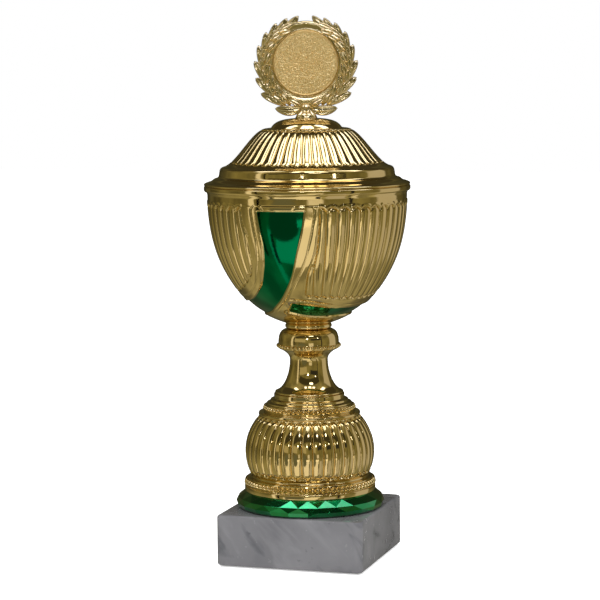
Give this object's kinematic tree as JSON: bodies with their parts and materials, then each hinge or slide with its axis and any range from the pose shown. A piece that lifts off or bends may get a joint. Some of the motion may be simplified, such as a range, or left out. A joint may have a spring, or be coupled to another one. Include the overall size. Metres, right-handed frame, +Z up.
{
  "type": "cup trophy",
  "caption": "Lidded cup trophy: marble base, faceted ring, ribbed foot, knop stem, ribbed bowl with swirled lacquer bands and a lift-off lid carrying a laurel wreath.",
  "frame": {"origin": "centre of the footprint, on the surface that the felt pads rest on", "axes": "+Z up along the axis of the cup; the marble's sides lie along X and Y; the wreath's front faces -Y, turned 14 degrees towards +X"},
  "size_m": [0.1616, 0.1616, 0.4267],
  "materials": {
    "felt": "dark green felt",
    "marble": "polished grey marble with soft darker veins",
    "zinc_steel": "zinc plated",
    "green_plastic": "clear emerald, mirror backed and faceted",
    "gold_plastic": "metallised mirror gold; green lacquer in the bowl's smooth swirls",
    "gold_cast": "metallised gold on a moulded relief",
    "gold_emblem": "stamped, gold anodised, matt grainy field"
  },
  "bodies": {
    "cup": {"felt_pads": "felt", "marble_base": "marble", "base_nut": "zinc_steel", "base_washer": "zinc_steel", "threaded_rod": "zinc_steel", "faceted_ring": "green_plastic", "foot": "gold_plastic", "stem": "gold_plastic", "cup_seat": "gold_plastic", "bowl": "gold_plastic", "bowl_washer": "zinc_steel", "bowl_nut": "zinc_steel"},
    "lid": {"lid": "gold_plastic", "lid_washer": "zinc_steel", "lid_nut": "zinc_steel", "wreath_stud": "zinc_steel", "wreath": "gold_cast", "emblem": "gold_emblem"}
  },
  "joints": [
    {"name": "lid_lift", "type": "slide", "parent": "cup", "child": "lid", "axis": [0, 0, 1], "range_m": [0, 0.12]}
  ]
}
